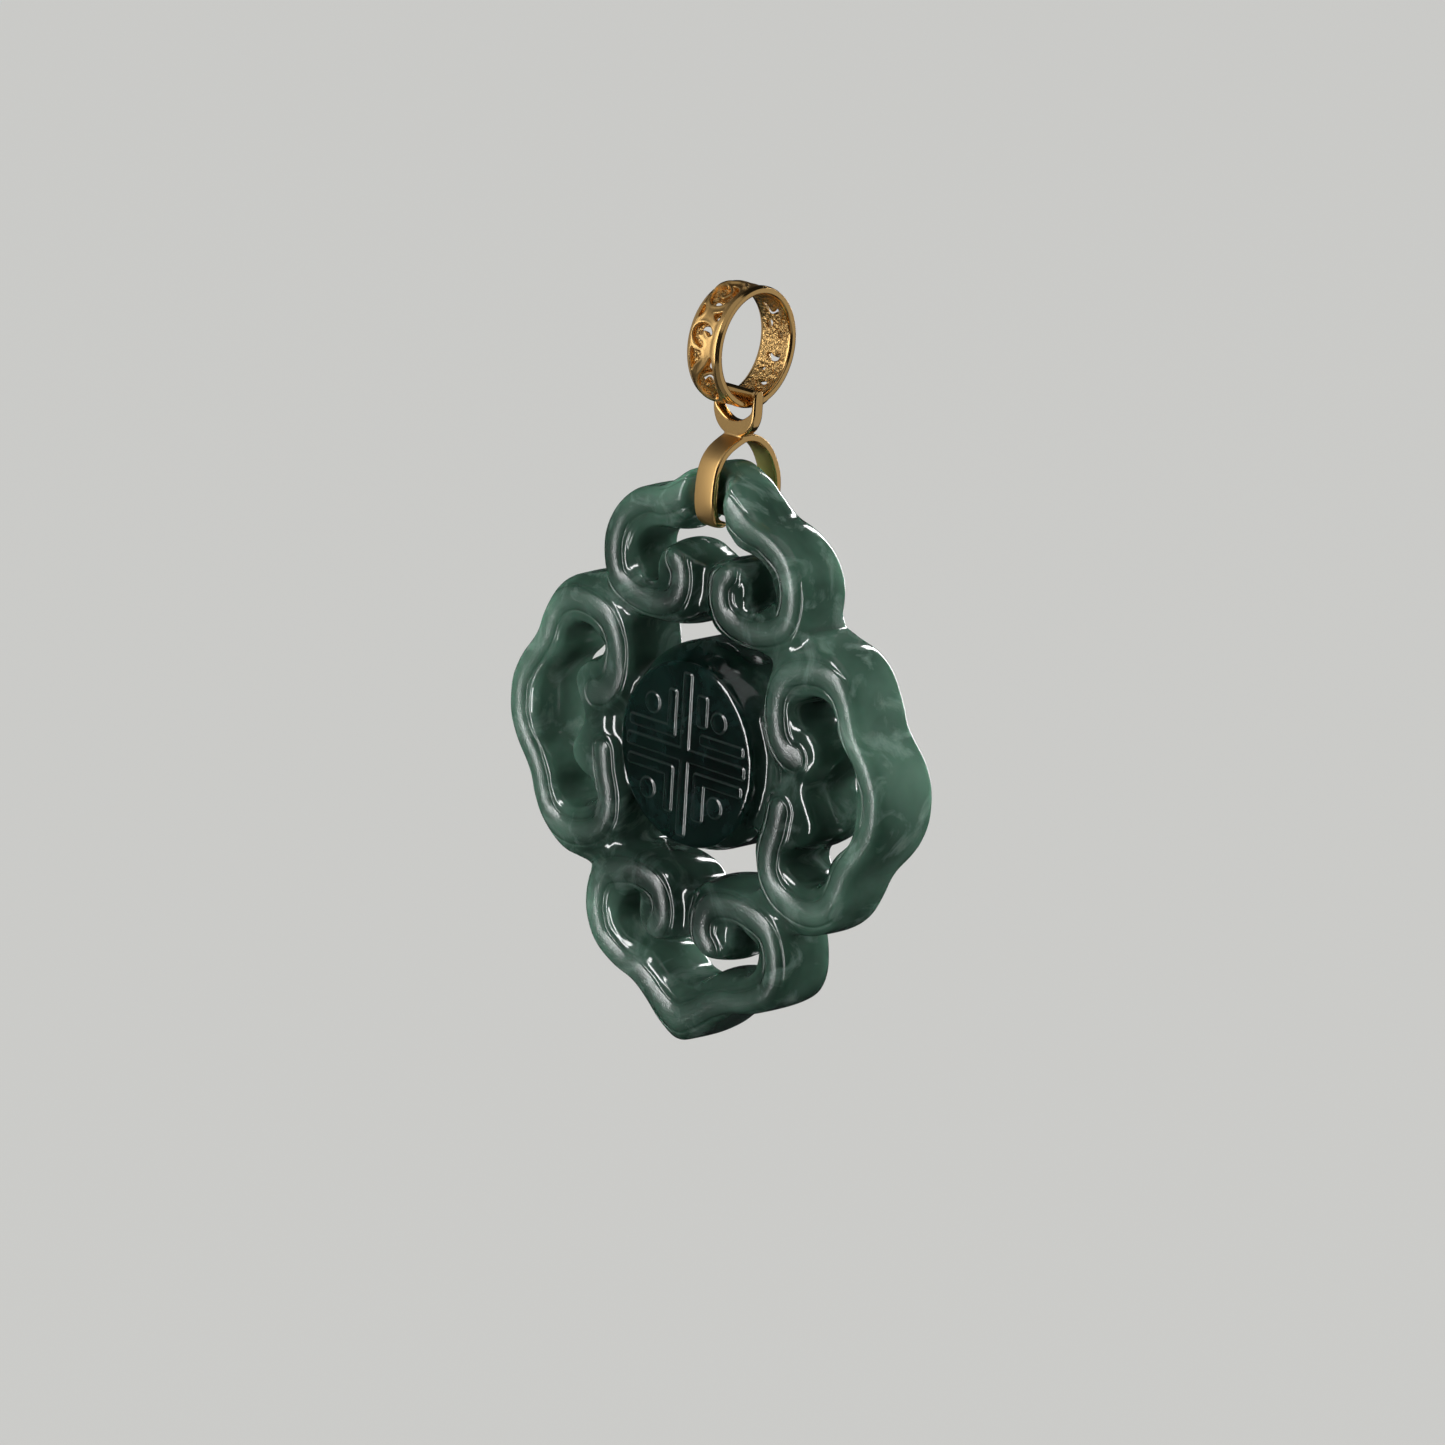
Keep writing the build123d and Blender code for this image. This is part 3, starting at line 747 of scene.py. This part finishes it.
ring_strokes = [
    # what it is, half its width, and its line: x across the ring, degrees from the top
    ("pit", 0.22, [(0.34, 71), (0.05, 67), (-0.42, 65.5), (-0.80, 69), (-0.86, 75),
                   (-0.62, 80.5), (-0.28, 83)]),
    ("curl", 0.13, [(-0.62, 12), (-0.05, 18), (0.24, 25), (0.06, 32), (-0.25, 30.5),
                    (-0.22, 26)]),
    ("curl", 0.13, [(0.85, 109), (0.35, 111), (-0.08, 115), (-0.30, 121), (-0.10, 126.5),
                    (0.2, 124)]),
    ("hole", 0.17, [(0.50, 21), (0.55, 30), (0.32, 37), (-0.05, 39), (-0.42, 37)]),
    ("hole", 0.14, [(0.42, 54.5), (0.64, 53)]),
    ("hole", 0.18, [(0.26, 70), (0.0, 67.5), (-0.36, 67.5), (-0.44, 71.5)]),
    ("hole", 0.15, [(-0.34, 91.5), (-0.36, 95)]),
    ("hole", 0.19, [(0.62, 101), (0.45, 106)]),
    ("hole", 0.14, [(-0.42, 127), (-0.42, 121.5), (-0.12, 117.8), (0.30, 119), (0.46, 130)]),
    ("hole", 0.15, [(0.66, 148), (0.52, 157)]),
]
pit_depth = 0.40
top_curl = [(-1.05, 24), (-1.08, 15), (-0.80, 7), (-0.20, 2.5), (0.45, 5), (0.80, 12)]

turns = np.linspace(0, 2 * math.pi, 421)
radii = np.arange(3.64, 4.83, gold_cell)
widths = np.arange(-1.61, 1.62, gold_cell)
round_way, ring_x = np.meshgrid(360 - np.degrees(turns), widths, indexing="ij")
per_degree = math.radians(1) * ring_radius
distances = {kind: np.full(ring_x.shape, np.inf) for kind in ("pit", "curl", "hole", "bump")}
for first, flip in ((0, 1), (180, -1)):
    across = ring_x * flip
    along = ((round_way - first + 60) % 360 - 60) * per_degree
    for pit in ring_pits:
        line = closed_line(np.array(pit) * (1, per_degree), 4)
        distances["pit"] = np.minimum(distances["pit"], loop_distance(across, along, line))
    for kind, half, stroke in ring_strokes + [("bump", 0, top_curl)]:
        line = smooth_line(np.array(stroke) * (1, per_degree), 4)
        distances[kind] = np.minimum(distances[kind], line_distance(across, along, line) - half)
at_rim = ease(0.70, 0.90, abs(ring_x))
pit_wall = np.maximum(distances["pit"], -distances["curl"])
outside_radius = (ring_radius - ring_recess * (1 - at_rim) - pit_depth * ease(0.03, -0.07, pit_wall)
                  + lip_rise * np.exp(-((pit_wall - lip_at) / lip_half_width) ** 2) * (1 - at_rim)
                  + curl_rise * np.exp(-(distances["bump"] / curl_half_width) ** 2)
                  - line_depth * np.exp(-((abs(ring_x) - line_x) / line_half_width) ** 2))
ring_wall = np.minimum(distances["hole"], ring_half_width - abs(ring_x))[:, None, :]
radius = radii[None, :, None]
ring_cover = np.maximum(radius - outside_radius[:, None, :], ring_inner_radius - radius)
ring_edge = (middle_edge + (rim_edge - middle_edge) * ease(0.86, 1.10, abs(ring_x)))[:, None, :]
ring_field = rounded_slab(ring_wall, ring_cover, ring_edge)

ring_net, ring_faces = surface_net(ring_field, turns, radii, widths)
turn, radius, across = ring_net.T
ring_points = np.stack([across, radius * np.sin(turn), radius * np.cos(turn)], 1)
ring_points = even_out(ring_points, ring_faces, 2)
turned = np.array([[math.cos(ring_turn), math.sin(ring_turn), 0],
                   [-math.sin(ring_turn), math.cos(ring_turn), 0], [0, 0, 1]])
ring_mesh = add_piece("pierced_ring", ring_points @ turned + (0, 0, ring_middle_z),
                      ring_faces.tolist(), "bail", "ring_bail")
cast_share = ease(4.26, 4.12, radius) * ease(1.25, 1.0, abs(across))
add_values(ring_mesh, "cast", cast_share)
add_values(ring_mesh, "satin", ease(1.30, 1.0, abs(across)) * (1 - cast_share))

# Eighteen carat gold: satin faces, brighter polished edges, and a rough cast skin where
# the ring bail was left unfinished. The real grain of the satin is finer than the render can
# show, and is drawn as coarse as it needs. The lumps of the cast skin are near their real size.
grain_size, grain_height = 0.11111 * mm, 0.012 * mm
lump_size, lump_height = 0.27778 * mm, 0.24 * mm
cast_dullness = 0.10
for mesh, name, roughness in ((clip_mesh, "satin_gold", 0.12), (ring_mesh, "cast_gold", 0.14)):
    gold = bpy.data.materials.new(name)
    gold.use_nodes = True
    tree = gold.node_tree
    shader = tree.nodes["Principled BSDF"]
    shader.inputs["Base Color"].default_value = linear("#ecc07c")
    shader.inputs["Metallic"].default_value = 1.0
    place = add_node(tree, "ShaderNodeTexCoord").outputs["Object"]
    satin = add_node(tree, "ShaderNodeAttribute", attribute_name="satin").outputs["Fac"]
    rough = add_node(tree, "ShaderNodeMapRange", [("Value", satin)],
                     To_Min=roughness, To_Max=0.38)
    grain = add_node(tree, "ShaderNodeTexNoise", [("Vector", place)], Scale=1 / grain_size,
                     Detail=3.0)
    brushed = add_node(tree, "ShaderNodeBump", [("Height", grain.outputs["Fac"])],
                       Strength=0.25, Distance=grain_height)
    cast = add_node(tree, "ShaderNodeAttribute", attribute_name="cast").outputs["Fac"]
    dull = add_node(tree, "ShaderNodeMath", [("Value", cast)], operation="MULTIPLY_ADD")
    dull.inputs[1].default_value = cast_dullness
    tree.links.new(rough.outputs["Result"], dull.inputs[2])
    lumps = add_node(tree, "ShaderNodeTexNoise", [("Vector", place)], Scale=1 / lump_size,
                     Detail=2.0)
    skin = add_node(tree, "ShaderNodeBump",
                    [("Height", lumps.outputs["Fac"]), ("Strength", cast),
                     ("Normal", brushed.outputs["Normal"])], Distance=lump_height)
    tree.links.new(dull.outputs["Value"], shader.inputs["Roughness"])
    tree.links.new(skin.outputs["Normal"], shader.inputs["Normal"])
    mesh.materials.append(gold)


# The lamps. On the stone a tall narrow soft box in front draws the fine bright lines, a
# broad one behind shines into the edges, and weak ones fill. Wide dim cards surround the
# gold, which shows nothing but what is round it.
object_middle = np.array([0.0, 0.0, -27.0]) * mm
soft_boxes = [
    # name, azimuth to the right of the front, elevation, distance, width, height in metres,
    # watts, seen in reflections, lights the stone or the gold
    ("tall_soft_box", -15, 8, 0.55, 0.11, 0.75, 3.6, True, "stone"),
    ("left_fill", -95, 15, 0.80, 0.60, 0.60, 6.5, False, "stone"),
    ("right_fill", 125, 10, 0.80, 0.60, 0.60, 2.4, False, "stone"),
    ("low_fill", 78, -12, 0.80, 0.50, 0.50, 3.4, False, "stone"),
    ("back_soft_box", 172, 22, 0.60, 0.35, 0.45, 5.0, False, "stone"),
    ("rim_box", 205, 10, 0.60, 0.08, 0.50, 1.2, True, "stone"),
    ("overhead_box", 60, 80, 0.90, 0.70, 0.70, 0.8, True, "stone"),
    ("front_card", -18, 10, 0.60, 0.26, 0.75, 1.5, True, "gold"),
    ("right_card", 125, -5, 0.80, 1.50, 1.60, 2.8, True, "gold"),
    ("left_card", -75, 0, 0.90, 1.30, 1.40, 1.7, True, "gold"),
    ("back_card", 195, 10, 0.80, 0.10, 0.60, 1.0, True, "gold"),
    ("high_card", 20, 65, 0.90, 1.30, 1.30, 1.7, True, "gold"),
    ("low_card", 40, -60, 0.90, 1.30, 1.30, 0.9, True, "gold"),
]
lit_pieces = {"stone": ["jadeite_plaque"], "gold": ["strap_clip", "pierced_ring"]}
for name, azimuth, elevation, distance, width, height, watts, glossy, lit in soft_boxes:
    az, el = math.radians(azimuth), math.radians(elevation)
    toward = np.array([math.sin(az) * math.cos(el), -math.cos(az) * math.cos(el), math.sin(el)])
    light = bpy.data.lights.new(name, "AREA")
    light.shape = "RECTANGLE"
    light.size = width
    light.size_y = height
    light.energy = watts
    lamp = bpy.data.objects.new(name, light)
    side = np.array([math.cos(az), math.sin(az), 0.0])
    lamp.matrix_world = facing(side, np.cross(toward, side), toward,
                               object_middle + toward * distance)
    lamp.visible_camera = False
    lamp.visible_glossy = glossy
    lamp.visible_diffuse = lit == "stone"
    lamp.light_linking.receiver_collection = bpy.data.collections.new(name)
    for piece_name in lit_pieces[lit]:
        lamp.light_linking.receiver_collection.objects.link(bpy.data.objects[piece_name])
    bpy.context.scene.collection.objects.link(lamp)
